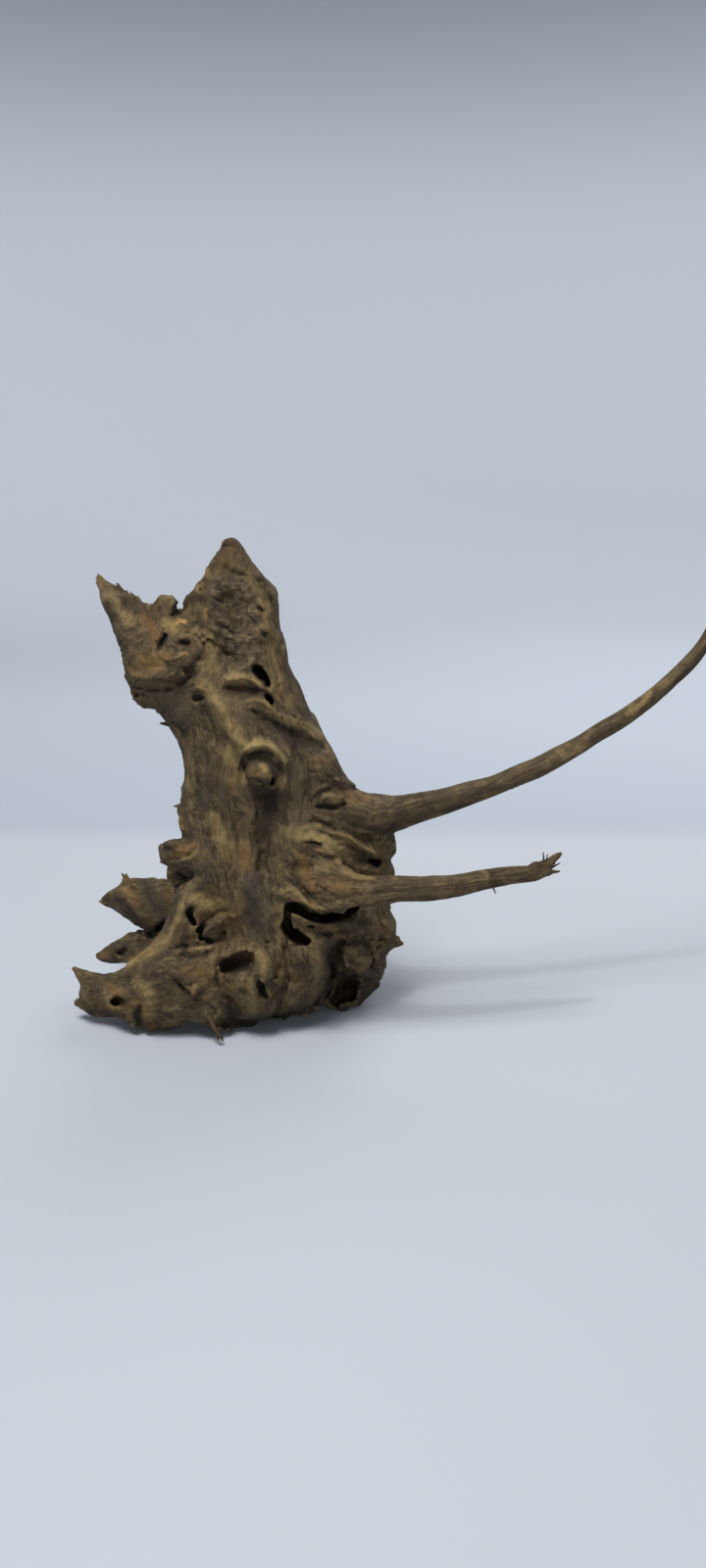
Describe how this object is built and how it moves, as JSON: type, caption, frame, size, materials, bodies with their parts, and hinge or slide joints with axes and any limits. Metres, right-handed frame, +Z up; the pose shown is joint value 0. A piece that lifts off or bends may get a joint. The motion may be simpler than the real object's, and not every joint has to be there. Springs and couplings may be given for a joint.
{
  "type": "driftwood",
  "caption": "Upright weathered driftwood stump with a leaning peaked trunk, a gnarled root base and two thin side branches.",
  "frame": {"origin": "on the ground under the trunk, at the middle of the worn flat spot of the middle foot", "axes": "+Z up, +X to the right along the two branches, +Y from the front with the round knot to the back"},
  "size_m": [0.4114, 0.1326, 0.3071],
  "materials": {
    "wood": "bare weathered grey-brown wood, matt"
  },
  "bodies": {
    "root": {"driftwood": "wood"}
  },
  "joints": []
}
